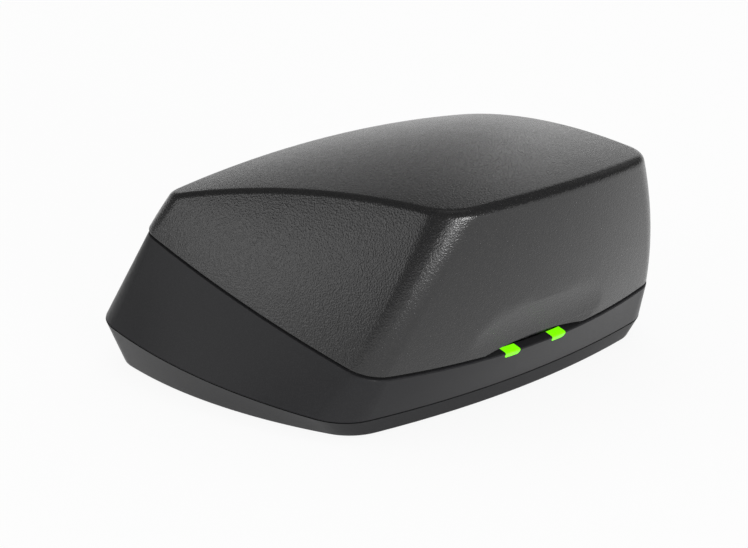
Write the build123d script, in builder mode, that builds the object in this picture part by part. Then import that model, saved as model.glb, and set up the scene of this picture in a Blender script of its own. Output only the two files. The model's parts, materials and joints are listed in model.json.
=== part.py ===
from build123d import *
from dataclasses import dataclass, replace
from math import asin, atan, atan2, cos, degrees, hypot, radians, sin, sqrt
import os

# A desktop charging case for a pair of behind-the-ear hearing aids.
# X runs to the right, Y to the back and Z up. The origin lies under the
# middle of the case, on the surface that it stands on. All sizes are in mm.


@dataclass(frozen=True)
class Outline:
    """A rounded four-sided outline of the case, as seen from above."""

    front_half: float
    rear_half: float
    front_y: float
    rear_y: float
    front_bow: float
    side_bow: float
    rear_bow: float
    front_corner: float
    rear_corner: float

    def inset(self, distance):
        """Return this outline moved inwards on all four sides."""
        return replace(
            self,
            front_half=self.front_half - distance,
            rear_half=self.rear_half - distance,
            front_y=self.front_y + distance,
            rear_y=self.rear_y - distance,
            front_corner=max(self.front_corner - distance, least_corner),
            rear_corner=max(self.rear_corner - distance, least_corner),
        )

    def front_at(self, x):
        """Return where the front edge lies at a distance from the middle."""
        return self.front_y - self.front_bow * (1 - (x / self.front_half) ** 2)

    def rear_at(self, x):
        """Return where the rear edge lies at a distance from the middle."""
        return self.rear_y + self.rear_bow * (1 - (x / self.rear_half) ** 2)


@dataclass(frozen=True)
class Level:
    """A plane through the case that rises towards the back."""

    height: float
    slope: float

    def raised(self, distance):
        """Return the parallel plane that lies higher by a distance."""
        return Level(self.height + distance, self.slope)

    def plane(self):
        """Return the plane, with its normal upwards."""
        angle = atan(self.slope)
        return Plane(origin=(0, 0, self.height), x_dir=(1, 0, 0), z_dir=(0, -sin(angle), cos(angle)))

    def at(self, y):
        """Return the height of the plane at a place along the case."""
        return self.height + self.slope * y

    def stretch(self):
        """Return the length along the slope of one mm seen from above."""
        return hypot(1, self.slope)


# Outer form: four outlines, from the floor up, and the crown of the lid
least_corner = 1.0
stand_height = 0.4
floor_outline = Outline(
    front_half=41.6,
    rear_half=49.1,
    front_y=-26.8,
    rear_y=40.7,
    front_bow=4.6,
    side_bow=5.6,
    rear_bow=2.7,
    front_corner=9.6,
    rear_corner=9.9,
)
crease_outline = Outline(
    front_half=45.0,
    rear_half=52.6,
    front_y=-27.4,
    rear_y=42.6,
    front_bow=4.6,
    side_bow=5.6,
    rear_bow=2.7,
    front_corner=10.8,
    rear_corner=10.3,
)
rim_outline = Outline(
    front_half=42.3,
    rear_half=46.8,
    front_y=-31.4,
    rear_y=32.6,
    front_bow=5.7,
    side_bow=2.0,
    rear_bow=2.7,
    front_corner=7.7,
    rear_corner=4.4,
)
waist_outline = Outline(
    front_half=34.8,
    rear_half=44.6,
    front_y=-38.0,
    rear_y=30.45,
    front_bow=5.0,
    side_bow=1.2,
    rear_bow=2.3,
    front_corner=8.7,
    rear_corner=6.0,
)
brow_outline = Outline(
    front_half=25.35,
    rear_half=41.2,
    front_y=-42.1,
    rear_y=27.85,
    front_bow=4.2,
    side_bow=0.2,
    rear_bow=1.9,
    front_corner=12.8,
    rear_corner=6.5,
)
floor_level = Level(stand_height, 0.0)
crease_level = Level(6.63, 0.091)
rim_level = Level(22.1, 0.256)
waist_level = Level(35.64, 0.048)
brow_level = Level(48.38, -0.16)
crown_height = 48.95
crown_y = -30.3
crown_length_radius = 225.0
crown_width_radius = 324.0
crown_edge_radius = 2.0
rim_gap = 0.5
rim_edge_radius = 0.3
rim_edge_turn = 0.09
floor_edge_radius = 0.5
crease_groove = 0.15

# Walls and the fits between the shells
wall = 2.0
cover_wall = 1.8
floor_thickness = 1.8
lip_height = 1.2
lip_thickness = 1.0
lip_root = 0.8
lip_clearance = 0.1
deck_depth = 1.0
deck_thickness = 1.8
deck_clearance = 0.1
ledge_width = 1.6
ledge_thickness = 1.5
dust_lip_inset = 0.75
dust_lip_height = 0.9
dust_lip_thickness = 1.2

# Hinge at the back
hinge_setback = 0.5
knuckle_radius = 2.7
knuckle_clearance = 0.3
lid_knuckle_half = 17.0
base_knuckle_length = 9.0
hinge_pin_radius = 1.2
hinge_pin_hold = 0.01
hinge_pin_running = 0.05
hinge_pin_recess = 0.3
lid_travel = 100.0
stop_reach = 1.5
stop_play = 2.7
stop_spread = 30.0
stop_width = 28.0

# Finger grip at the front of the lid
grip_half = 15.0
grip_height = 1.7
scoop_depth = 1.0
scoop_radius = 31.0
scoop_lift = 2.5

# Charging wells and the bay for the receivers
well_x = 22.0
well_y = -7.0
well_width = 12.5
well_length = 21.0
well_corner = 4.0
well_floor = 9.0
well_wall = 1.5
cup_clearance = 0.05
well_liner_wall = 0.8
well_liner_clearance = 0.05
bay_half = 8.0
bay_front = -20.0
bay_rear = 19.0
bay_depth = 5.0
bay_corner = 4.0
marker_radius = 1.6
marker_depth = 0.5
marker_clearance = 0.05
marker_offset = 15.5

# Circuit board and what it carries
board_thickness = 1.2
board_margin = 1.0
board_half = 30.0
board_room = 2.0
pin_block_width = 4.0
pin_block_length = 9.0
pin_block_clearance = 0.1
pin_block_fit = 0.05
pin_spacing = 5.0
pin_barrel_radius = 1.0
pin_hole_clearance = 0.1
pin_barrel_recess = 0.2
pin_mouth_thickness = 0.6
pin_bore_floor = 0.6
pin_tip_radius = 0.3
pin_stem_radius = 0.55
pin_running = 0.05
pin_collar_radius = 0.72
pin_collar_length = 0.7
pin_reach = 1.0
pin_collar_play = 0.02
spring_wire_radius = 0.09
spring_mean_radius = 0.56
spring_turns = 6
led_length = 2.0
led_width = 1.25
led_height = 0.7
chip_size = 5.0
chip_height = 0.9
chip_x = 9.0
chip_y = 28.0
inductor_size = 6.0
inductor_height = 3.0
inductor_x = -14.0
inductor_y = 24.0
capacitor_length = 2.0
capacitor_width = 1.25
capacitor_height = 1.2
capacitor_pitch = 2.6
capacitor_count = 4
capacitor_x = 20.0
capacitor_y = 22.0

# Light pipes in the front rim
light_x = 6.8
light_width = 4.0
light_height = 1.2
light_corner = 0.6
light_clearance = 0.1
light_arm_drop = 0.15
light_arm_thickness = 1.7
light_arm_wall = 0.7
light_riser_depth = 0.7
light_riser_root = 0.4
light_stem_depth = 2.4
light_stem_gap = 0.3
light_y = -26.0
light_bevel = 1.0
light_block_wall = 1.0
light_block_height = 2.4

# Power inlet at the back
inlet_width = 8.94
inlet_height = 3.26
inlet_length = 7.3
inlet_wall = 0.3
inlet_recess = 0.3
inlet_opening_clearance = 0.25
inlet_tongue_width = 6.7
inlet_tongue_thickness = 0.7
inlet_tongue_length = 4.5
inlet_back_length = 1.6
inlet_core_fit = 0.02

# Screws, feet and magnets
cover_screw_front = (36.0, -18.0)
cover_screw_rear = (38.0, 22.0)
screw_boss_radius = 3.2
screw_boss_top = 7.0
screw_radius = 1.1
screw_clearance = 0.02
screw_length = 9.0
screw_head_radius = 2.0
screw_head_height = 1.5
screw_head_room = 0.3
screw_floor = 3.6
screw_end_room = 0.4
foot_radius = 4.5
foot_recess = 0.8
foot_clearance = 0.1
foot_edge_radius = 0.3
board_screw_front = (26.0, -21.5)
board_screw_rear = (25.0, 32.0)
board_screw_radius = 1.0
board_screw_length = 3.4
board_screw_head_radius = 1.9
board_screw_head_height = 1.2
board_boss_radius = 2.4
screw_hole_clearance = 0.1
magnet_radius = 2.5
magnet_thickness = 2.0
magnet_clearance = 0.05
magnet_skin = 0.8
magnet_wall = 0.9
magnet_x = 26.0
magnet_y = -24.5
lid_rest_play = 0.05
lid_magnet_boss = 4.0
drive_depth = 0.8
drive_radius = 0.9

# Liner and pads in the lid
liner_level = Level(40.35, -0.13)
liner_thickness = 1.4
liner_clearance = 0.3
liner_boss_radius = 3.0
liner_screw_front = (20.0, -22.0)
liner_screw_rear = (26.0, 18.0)
liner_screw_radius = 1.0
liner_screw_depth = 2.6
liner_screw_head_radius = 1.9
liner_screw_head_height = 0.9
pad_width = 11.0
pad_length = 18.0
pad_corner = 3.0
pad_thickness = 1.5

# Reach of the cutting and trimming bodies, which is more than the whole case
far = 80.0

# Heights that follow from the sizes above
floor_top = stand_height + floor_thickness
board_bottom = floor_top + board_room
board_top = board_bottom + board_thickness
base_rim = rim_level.raised(-rim_gap / 2)
lid_rim = rim_level.raised(rim_gap / 2)
deck_top = base_rim.raised(-deck_depth)
deck_bottom = deck_top.raised(-deck_thickness)
ledge_bottom = deck_bottom.raised(-ledge_thickness)
liner_floor_top = well_floor + well_liner_wall
pin_barrel_top = liner_floor_top - pin_barrel_recess
pin_top = liner_floor_top + pin_reach
pin_collar_top = pin_barrel_top - pin_mouth_thickness - pin_collar_play
pin_collar_bottom = pin_collar_top - pin_collar_length
dust_lip_top = rim_level.raised(dust_lip_height)
lid_magnet_rise = dust_lip_top.height + lid_rest_play - deck_top.height
liner_bottom = liner_level.raised(-liner_thickness)

# Places that follow from the sizes above
hinge_y = rim_outline.rear_at(0) + hinge_setback
hinge_z = rim_level.at(hinge_y)
hinge_pin_half = lid_knuckle_half + knuckle_clearance + base_knuckle_length - hinge_pin_recess
sides = {"left": -1, "right": 1}
ends = {"front": -1, "rear": 1}


def both_sides(*places):
    """Return places and their mirror images across the middle of the case."""
    return [(side * x, y) for x, y in places for side in sides.values()]


cover_screw_places = both_sides(cover_screw_front, cover_screw_rear)
board_screw_places = both_sides(board_screw_front, board_screw_rear)
liner_screw_places = both_sides(liner_screw_front, liner_screw_rear)
magnet_places = both_sides((magnet_x, magnet_y))
marker_places = both_sides((well_x, well_y + marker_offset))
pin_places = both_sides(
    (well_x, well_y - pin_spacing / 2), (well_x, well_y + pin_spacing / 2)
)


def section(outline, level):
    """Return the face of an outline on a level."""
    front = outline.front_y * level.stretch()
    rear = outline.rear_y * level.stretch()
    middle_half = (outline.front_half + outline.rear_half) / 2 + outline.side_bow
    front_left = (-outline.front_half, front)
    front_right = (outline.front_half, front)
    rear_left = (-outline.rear_half, rear)
    rear_right = (outline.rear_half, rear)
    with BuildSketch(level.plane()) as face:
        with BuildLine():
            ThreePointArc(front_left, (0, front - outline.front_bow), front_right)
            ThreePointArc(front_right, (middle_half, (front + rear) / 2), rear_right)
            ThreePointArc(rear_right, (0, rear + outline.rear_bow), rear_left)
            ThreePointArc(rear_left, (-middle_half, (front + rear) / 2), front_left)
        make_face()
        fillet(face.vertices().sort_by(Axis.Y)[:2], outline.front_corner)
        fillet(face.vertices().sort_by(Axis.Y)[-2:], outline.rear_corner)
    return face.sketch


def slab(low, high):
    """Return everything between two parallel levels."""
    with BuildPart() as space:
        with BuildSketch(low.plane()):
            Rectangle(2 * far, 2 * far)
        extrude(amount=(high.height - low.height) / low.stretch())
    return space.part


def layer(form, low, high):
    """Return the layer of a form between two levels."""
    with BuildPart() as cut:
        add(form)
        add(slab(low, high), mode=Mode.INTERSECT)
    return cut.part


def band(outer, inner, low, high):
    """Return the band between an outer and an inner form, from one level to another."""
    with BuildPart() as ring:
        add(layer(outer, low, high))
        add(inner, mode=Mode.SUBTRACT)
    return ring.part


def cover_form(inset, low, high):
    """Return the bottom cover's outer form, moved inwards."""
    with BuildPart() as form:
        loft(
            sections=[
                section(floor_outline.inset(inset), low),
                section(crease_outline.inset(inset), high),
            ],
            ruled=True,
        )
    return form.part


def base_form(inset, high=base_rim):
    """Return the base housing's outer form, moved inwards."""
    with BuildPart() as form:
        loft(
            sections=[
                section(crease_outline.inset(inset), crease_level),
                section(rim_outline.inset(inset), high),
            ],
            ruled=True,
        )
    return form.part


def crown(drop):
    """Return the space under the crown of the lid, which curves both ways."""
    half_angle = degrees(asin(far / crown_width_radius))
    axis_height = crown_height - crown_width_radius
    radius = crown_length_radius - drop
    shoulder = crown_width_radius - crown_length_radius + sqrt(radius**2 - far**2)
    inner = crown_width_radius - far
    start = Plane(
        origin=(0, crown_y, axis_height),
        x_dir=(0, 1, 0),
        z_dir=(cos(radians(half_angle)), 0, sin(radians(half_angle))),
    )
    with BuildPart() as under:
        with BuildSketch(start):
            with BuildLine():
                ThreePointArc((-far, shoulder), (0, crown_width_radius - drop), (far, shoulder))
                Polyline((far, shoulder), (far, inner), (-far, inner), (-far, shoulder))
            make_face()
        revolve(axis=Axis((0, 0, axis_height), (0, 1, 0)), revolution_arc=2 * half_angle)
    return under.part


def lid_form(inset, low=lid_rim):
    """Return the lid's outer form, moved inwards."""
    with BuildPart() as form:
        loft(
            sections=[
                section(rim_outline.inset(inset), low),
                section(waist_outline.inset(inset), waist_level),
                section(brow_outline.inset(inset), brow_level),
            ]
        )
        add(crown(inset), mode=Mode.INTERSECT)
    return form.part


def hinge_barrel(radius, start, end):
    """Return a round bar on the hinge axis, between two distances from the middle."""
    with BuildPart() as barrel:
        with BuildSketch(Plane.YZ.offset(start)):
            with Locations((hinge_y, hinge_z)):
                Circle(radius)
        extrude(amount=end - start)
    return barrel.part


def well(side, margin, low, high):
    """Return the upright space of a well, widened by a margin."""
    with BuildPart() as space:
        with BuildSketch(Plane.XY.offset(low)):
            with Locations((side * well_x, well_y)):
                RectangleRounded(
                    well_width + 2 * margin, well_length + 2 * margin, well_corner + margin
                )
        extrude(amount=high - low)
    return space.part


def bay(margin, low, high):
    """Return the receiver bay's space between two distances from the deck, widened."""
    with BuildPart() as space:
        with BuildSketch(deck_top.plane().offset(low)):
            with Locations((0, (bay_front + bay_rear) / 2 * deck_top.stretch())):
                RectangleRounded(
                    2 * (bay_half + margin),
                    (bay_rear - bay_front) * deck_top.stretch() + 2 * margin,
                    bay_corner + margin,
                )
        extrude(amount=high - low)
    return space.part


def on_level(level, places):
    """Return places seen from above as places on a level."""
    return [(x, y * level.stretch()) for x, y in places]


def posts(places, radius, low, high):
    """Return upright round posts between two heights."""
    with BuildPart() as group:
        with BuildSketch(Plane.XY.offset(low)):
            with Locations(*places):
                Circle(radius)
        extrude(amount=high - low)
    return group.part


def studs(places, radius, datum, low, high):
    """Return round studs square to a level, placed on it, between two distances from it."""
    with BuildPart() as group:
        with BuildSketch(datum.plane().offset(low / datum.stretch())):
            with Locations(*on_level(datum, places)):
                Circle(radius)
        extrude(amount=(high - low) / datum.stretch())
    return group.part


def between(low, high, share):
    """Return the value at a share of the way between two values."""
    return low + (high - low) * share


def base_front(x, z):
    """Return where the base housing's front wall lies at a height."""
    crease_y = crease_outline.front_at(x)
    rim_y = rim_outline.front_at(x)
    crease_z = crease_level.at(crease_y)
    return between(crease_y, rim_y, (z - crease_z) / (base_rim.at(rim_y) - crease_z))


def cover_rear(z):
    """Return where the bottom cover's rear wall lies at a height."""
    crease_y = crease_outline.rear_at(0)
    share = (z - stand_height) / (crease_level.at(crease_y) - stand_height)
    return between(floor_outline.rear_at(0), crease_y, share)


def hinge_point(radius, angle):
    """Return a place at a distance and an angle from the hinge axis."""
    return (hinge_y + radius * cos(radians(angle)), hinge_z + radius * sin(radians(angle)))


def rimmed_base():
    """Return the base housing's outer form with its softened rim."""
    shoulder = base_rim.raised(-rim_edge_radius)
    turn = base_rim.raised(-rim_edge_turn)
    with BuildPart() as form:
        add(base_form(0, shoulder))
        loft(
            sections=[
                section(rim_outline, shoulder),
                section(rim_outline.inset(rim_edge_turn), turn),
                section(rim_outline.inset(rim_edge_radius), base_rim),
            ],
            ruled=True,
        )
    return form.part


def base_hollow():
    """Return the space inside the base housing, which leaves a ledge for the deck."""
    inside = base_form(wall)
    with BuildPart() as hollow:
        add(inside)
        add(
            band(inside, base_form(wall + ledge_width), ledge_bottom, deck_bottom),
            mode=Mode.SUBTRACT,
        )
    return hollow.part


def dust_lip():
    """Return the upright lip on the deck that stands up into the lid."""
    outline = rim_outline.inset(wall + dust_lip_inset)
    rise = (dust_lip_top.height - base_rim.height) / rim_level.stretch()
    with BuildPart() as lip:
        extrude(section(outline, base_rim), amount=rise)
        extrude(
            section(outline.inset(dust_lip_thickness), base_rim), amount=rise, mode=Mode.SUBTRACT
        )
    return lip.part


def magnet_bosses():
    """Return the bosses round the lid's magnets, led out to the front wall."""
    radius = magnet_radius + magnet_wall
    with BuildPart() as bosses:
        with BuildSketch(deck_top.plane().offset(lid_magnet_rise / deck_top.stretch())):
            with Locations(*on_level(deck_top, magnet_places)):
                Circle(radius)
                Rectangle(2 * radius, far, align=(Align.CENTER, Align.MAX))
        extrude(amount=lid_magnet_boss)
    return bosses.part


def lid_bosses():
    """Return all bosses inside the lid, rooted in the middle of its wall."""
    with BuildPart() as bosses:
        add(studs(liner_screw_places, liner_boss_radius, liner_level, 0, far))
        add(magnet_bosses())
        add(lid_form(wall / 2), mode=Mode.INTERSECT)
    return bosses.part


light_head_bottom = base_rim.at(rim_outline.front_at(light_x)) - light_height
light_head_inner = base_front(light_x, light_head_bottom) + wall
light_arm_top = deck_bottom.at(light_head_inner) - light_arm_drop
light_arm_bottom = light_arm_top - light_arm_thickness
light_riser_top = light_head_bottom + light_riser_root
light_stem_bottom = board_top + led_height + light_stem_gap


def light_notch(side, clearance):
    """Return the bar across the front rim that a light pipe's head fills."""
    with BuildPart() as bar:
        with BuildSketch(Plane.XZ.offset(far)) as end:
            with Locations((side * light_x, light_head_bottom - clearance)):
                Rectangle(light_width + 2 * clearance, far, align=(Align.CENTER, Align.MIN))
            fillet(end.vertices().sort_by(Axis.Y)[:2], light_corner + clearance)
        extrude(amount=-(far + light_head_inner + ledge_width))
    return bar.part


def light_wall_place(z, depth):
    """Return a place in the front wall behind a light, at a height and a depth."""
    return (base_front(light_x, z) + depth, z)


def light_arm(side, clearance):
    """Return the stem over a light, and the arm and riser that lead from it to the rim."""
    stem_front = light_y - light_stem_depth / 2 - clearance
    stem_rear = light_y + light_stem_depth / 2 + clearance
    top = light_arm_top + clearance
    bottom = light_arm_bottom - clearance
    riser_front = light_arm_wall - clearance
    riser_rear = light_arm_wall + light_riser_depth + clearance
    start = side * light_x - light_width / 2 - clearance
    with BuildPart() as arm:
        with BuildSketch(Plane.YZ.offset(start)):
            with BuildLine():
                Polyline(
                    (stem_rear, light_stem_bottom),
                    (stem_rear, top - light_bevel),
                    (stem_rear - light_bevel, top),
                    light_wall_place(top, riser_rear),
                    light_wall_place(light_riser_top, riser_rear),
                    light_wall_place(light_riser_top, riser_front),
                    light_wall_place(bottom, riser_front),
                    (stem_front, bottom),
                    (stem_front, light_stem_bottom),
                    close=True,
                )
            make_face()
        extrude(amount=light_width + 2 * clearance)
    return arm.part


# The lid's stop meets the base's rear wall just past the end of its travel
stop_radius = knuckle_radius + stop_reach
rim_rear = rim_outline.rear_at(0)
crease_rear = crease_outline.rear_at(0)
rear_wall_rise = base_rim.at(rim_rear) - crease_level.at(crease_rear)
rear_wall_run = crease_rear - rim_rear
rear_wall_angle = degrees(atan2(rear_wall_rise, rear_wall_run))
rear_wall_distance = (
    (hinge_y - rim_rear) * rear_wall_rise + (hinge_z - base_rim.at(rim_rear)) * rear_wall_run
) / hypot(rear_wall_rise, rear_wall_run)
stop_contact_angle = -rear_wall_angle - degrees(asin(rear_wall_distance / stop_radius))
stop_lead_angle = lid_travel + stop_play + stop_contact_angle

# The finger grip: an arched edge, and a shallow round scoop above it
grip_end = lid_rim.at(rim_outline.front_at(grip_half))
grip_top = lid_rim.at(rim_outline.front_at(0)) + grip_height
front_wall_run = rim_outline.front_at(0) - waist_outline.front_at(0)
front_wall_rise = waist_level.at(waist_outline.front_at(0)) - lid_rim.at(rim_outline.front_at(0))
front_wall_lean = atan2(front_wall_run, front_wall_rise)
scoop_reach = scoop_radius - scoop_depth
scoop_middle = (
    rim_outline.front_at(0) - scoop_lift * sin(front_wall_lean) - scoop_reach * cos(front_wall_lean),
    lid_rim.at(rim_outline.front_at(0)) + scoop_lift - scoop_reach * sin(front_wall_lean),
)

inlet_middle = board_top + inlet_height / 2
inlet_front = cover_rear(inlet_middle) - inlet_recess


def inlet_bar(margin, start, end):
    """Return the rounded bar of the power inlet, widened by a margin."""
    with BuildPart() as bar:
        with BuildSketch(Plane.XZ.offset(-end)):
            with Locations((0, inlet_middle)):
                SlotOverall(inlet_width + 2 * margin, inlet_height + 2 * margin)
        extrude(amount=end - start)
    return bar.part


def finish(piece, name):
    """Give a finished piece its name and write it to its own file."""
    piece.part.label = name
    export_step(piece.part, f"parts/{name}.step")


os.makedirs("parts", exist_ok=True)

# Bottom cover: a tray that tapers down to the floor, with a groove at its top edge
with BuildPart() as bottom_cover:
    add(cover_form(0, floor_level, crease_level.raised(-crease_groove)))
    fillet(bottom_cover.faces().sort_by(Axis.Z)[0].edges(), floor_edge_radius)
    add(cover_form(crease_groove, floor_level.raised(floor_thickness), crease_level))
    add(
        cover_form(cover_wall, floor_level.raised(floor_thickness), crease_level),
        mode=Mode.SUBTRACT,
    )
    add(
        band(
            base_form(wall + lip_clearance),
            base_form(wall + lip_clearance + lip_thickness),
            crease_level,
            crease_level.raised(lip_height),
        )
    )
    add(
        band(
            cover_form(cover_wall - lip_clearance, floor_level, crease_level),
            cover_form(wall + lip_clearance + lip_thickness, floor_level, crease_level),
            crease_level.raised(-lip_root),
            crease_level,
        )
    )
    add(posts(cover_screw_places, screw_boss_radius, floor_top, screw_boss_top))
    add(posts(board_screw_places, board_boss_radius, floor_top, board_bottom))
    add(
        posts(cover_screw_places, foot_radius + foot_clearance, 0, stand_height + foot_recess),
        mode=Mode.SUBTRACT,
    )
    add(
        posts(cover_screw_places, screw_head_radius + screw_head_room, 0, screw_floor),
        mode=Mode.SUBTRACT,
    )
    add(
        posts(cover_screw_places, screw_radius + screw_clearance, 0, screw_boss_top),
        mode=Mode.SUBTRACT,
    )
    board_screw_end = board_top - board_screw_length
    add(
        posts(
            board_screw_places,
            board_screw_radius + screw_clearance,
            board_screw_end - screw_clearance,
            board_bottom,
        ),
        mode=Mode.SUBTRACT,
    )
    add(
        inlet_bar(inlet_opening_clearance, inlet_front - inlet_length, far),
        mode=Mode.SUBTRACT,
    )
finish(bottom_cover, "bottom_cover")

# Base housing: the tapered wall between the cover and the lid
with BuildPart() as base_housing:
    add(rimmed_base())
    add(
        band(
            base_form(-wall),
            base_form(crease_groove),
            crease_level,
            crease_level.raised(crease_groove),
        ),
        mode=Mode.SUBTRACT,
    )
    add(base_hollow(), mode=Mode.SUBTRACT)
    add(
        hinge_barrel(
            knuckle_radius + knuckle_clearance,
            -lid_knuckle_half - knuckle_clearance,
            lid_knuckle_half + knuckle_clearance,
        ),
        mode=Mode.SUBTRACT,
    )
    for side in sides.values():
        inner_end = side * (lid_knuckle_half + knuckle_clearance)
        outer_end = inner_end + side * base_knuckle_length
        add(hinge_barrel(knuckle_radius, min(inner_end, outer_end), max(inner_end, outer_end)))
    add(hinge_barrel(hinge_pin_radius + hinge_pin_hold, -far, far), mode=Mode.SUBTRACT)
    for side in sides.values():
        add(light_notch(side, light_clearance), mode=Mode.SUBTRACT)
        add(light_arm(side, light_clearance), mode=Mode.SUBTRACT)
finish(base_housing, "base_housing")

# Cradle deck: the plate under the lid, with its bosses and dust lip
with BuildPart() as cradle_deck:
    add(posts(cover_screw_places, screw_boss_radius, screw_boss_top, far))
    add(
        studs(
            magnet_places,
            magnet_radius + magnet_wall,
            deck_top,
            -magnet_skin - magnet_thickness,
            0,
        )
    )
    add(slab(deck_top, deck_top.raised(far)), mode=Mode.SUBTRACT)
    add(layer(base_form(wall + deck_clearance), deck_bottom, deck_top))
    add(
        band(
            base_form(wall + dust_lip_inset),
            base_form(wall + dust_lip_inset + dust_lip_thickness),
            deck_bottom,
            base_rim,
        )
    )
    add(dust_lip())
    for side in sides.values():
        add(well(side, well_wall + cup_clearance, 0, far), mode=Mode.SUBTRACT)
    add(bay(well_wall + cup_clearance, -far, far), mode=Mode.SUBTRACT)
    add(
        posts(
            cover_screw_places,
            screw_radius + screw_clearance,
            screw_boss_top,
            screw_floor + screw_length + screw_end_room,
        ),
        mode=Mode.SUBTRACT,
    )
    add(
        studs(
            magnet_places,
            magnet_radius + magnet_clearance,
            deck_top,
            -magnet_skin - magnet_thickness,
            -magnet_skin,
        ),
        mode=Mode.SUBTRACT,
    )
    add(
        studs(
            marker_places,
            marker_radius + marker_clearance,
            deck_top,
            -marker_depth,
            marker_depth,
        ),
        mode=Mode.SUBTRACT,
    )
    add(
        hinge_barrel(
            knuckle_radius + knuckle_clearance,
            -lid_knuckle_half - knuckle_clearance,
            lid_knuckle_half + knuckle_clearance,
        ),
        mode=Mode.SUBTRACT,
    )
finish(cradle_deck, "cradle_deck")

# Receiver tray: the shallow bay between the wells, set in the deck
with BuildPart() as receiver_tray:
    add(bay(well_wall, -bay_depth - well_wall, 0))
    add(bay(0, -bay_depth, bay_depth), mode=Mode.SUBTRACT)
finish(receiver_tray, "receiver_tray")

# Charging cups with their liners, side markers, contact blocks and magnets
for name, side in sides.items():
    with BuildPart() as charging_cup:
        add(well(side, well_wall, well_floor - well_wall, far))
        add(well(side, 0, well_floor, far), mode=Mode.SUBTRACT)
        add(
            posts(pin_places, pin_barrel_radius + pin_hole_clearance, 0, well_floor),
            mode=Mode.SUBTRACT,
        )
        add(slab(deck_top, deck_top.raised(2 * far)), mode=Mode.SUBTRACT)
    finish(charging_cup, f"charging_cup_{name}")

    with BuildPart() as well_liner:
        add(well(side, -well_liner_clearance, well_floor, far))
        add(well(side, -well_liner_wall, liner_floor_top, far), mode=Mode.SUBTRACT)
        add(posts(pin_places, pin_barrel_radius + pin_hole_clearance, 0, far), mode=Mode.SUBTRACT)
        add(slab(deck_top, deck_top.raised(2 * far)), mode=Mode.SUBTRACT)
    finish(well_liner, f"well_liner_{name}")

    marker_place = [(side * well_x, well_y + marker_offset)]
    with BuildPart() as side_marker:
        add(studs(marker_place, marker_radius, deck_top, -marker_depth, 0))
    finish(side_marker, f"side_marker_{name}")

    with BuildPart() as contact_block:
        with BuildSketch(Plane.XY.offset(board_top)):
            with Locations((side * well_x, well_y)):
                Rectangle(pin_block_width, pin_block_length)
        extrude(amount=well_floor - well_wall - pin_block_clearance - board_top)
        add(posts(pin_places, pin_barrel_radius + pin_block_fit, 0, far), mode=Mode.SUBTRACT)
    finish(contact_block, f"contact_block_{name}")

    magnet_place = [(side * magnet_x, magnet_y)]
    with BuildPart() as base_magnet:
        add(
            studs(
                magnet_place,
                magnet_radius,
                deck_top,
                -magnet_skin - magnet_thickness,
                -magnet_skin - magnet_clearance,
            )
        )
    finish(base_magnet, f"base_magnet_{name}")

    with BuildPart() as lid_magnet:
        add(
            studs(
                magnet_place,
                magnet_radius,
                deck_top,
                lid_magnet_rise,
                lid_magnet_rise + magnet_thickness,
            )
        )
    finish(lid_magnet, f"lid_magnet_{name}")

# Sprung charging contacts: a barrel, a plunger and a spring at each place
with BuildPart() as pin_barrels:
    add(posts(pin_places, pin_barrel_radius, board_bottom, pin_barrel_top))
    add(
        posts(
            pin_places,
            pin_collar_radius + pin_running,
            board_bottom + pin_bore_floor,
            pin_barrel_top - pin_mouth_thickness,
        ),
        mode=Mode.SUBTRACT,
    )
    add(
        posts(pin_places, pin_stem_radius + pin_running, pin_collar_bottom, pin_barrel_top),
        mode=Mode.SUBTRACT,
    )
finish(pin_barrels, "pin_barrels")

spring_bottom = board_bottom + pin_bore_floor + spring_wire_radius
spring_rise = pin_collar_bottom - spring_wire_radius - spring_bottom
with BuildPart() as spring_coil:
    with BuildLine():
        helix = Helix(spring_rise / spring_turns, spring_rise, spring_mean_radius)
    with BuildSketch(Plane(origin=helix @ 0, z_dir=helix % 0)):
        Circle(spring_wire_radius)
    sweep(is_frenet=True)

for name, side in sides.items():
    for end_name, end in ends.items():
        pin_place = [(side * well_x, well_y + end * pin_spacing / 2)]
        with BuildPart() as contact_pin:
            add(posts(pin_place, pin_stem_radius, pin_collar_top, pin_top))
            fillet(contact_pin.faces().sort_by(Axis.Z)[-1].edges(), pin_tip_radius)
            add(posts(pin_place, pin_collar_radius, pin_collar_bottom, pin_collar_top))
        finish(contact_pin, f"contact_pin_{name}_{end_name}")

        spring_base = Location((side * well_x, well_y + end * pin_spacing / 2, spring_bottom))
        with BuildPart() as pin_spring:
            add(spring_coil.part.moved(spring_base))
        finish(pin_spring, f"pin_spring_{name}_{end_name}")


# Circuit board, with the charging circuit and the lights
with BuildPart() as main_board:
    board_level = Level(board_bottom, 0.0)
    extrude(section(floor_outline.inset(cover_wall + board_margin), board_level), amount=board_thickness)
    with BuildSketch(board_level.plane()):
        Rectangle(2 * board_half, 2 * far)
    extrude(amount=board_thickness, mode=Mode.INTERSECT)
    add(
        posts(pin_places, pin_barrel_radius + pin_hole_clearance, board_bottom, board_top),
        mode=Mode.SUBTRACT,
    )
    add(
        posts(
            board_screw_places,
            board_screw_radius + screw_hole_clearance,
            board_bottom,
            board_top,
        ),
        mode=Mode.SUBTRACT,
    )
finish(main_board, "main_board")


def on_board(places, length, width, height):
    """Return blocks that stand on the circuit board."""
    with BuildPart() as blocks:
        with BuildSketch(Plane.XY.offset(board_top)):
            with Locations(*places):
                Rectangle(length, width)
        extrude(amount=height)
    return blocks.part


with BuildPart() as controller_chip:
    add(on_board([(chip_x, chip_y)], chip_size, chip_size, chip_height))
finish(controller_chip, "controller_chip")

with BuildPart() as inductor:
    add(on_board([(inductor_x, inductor_y)], inductor_size, inductor_size, inductor_height))
finish(inductor, "inductor")

capacitor_places = [
    (capacitor_x, capacitor_y + row * capacitor_pitch) for row in range(capacitor_count)
]
with BuildPart() as capacitors:
    add(on_board(capacitor_places, capacitor_length, capacitor_width, capacitor_height))
finish(capacitors, "capacitors")

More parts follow.
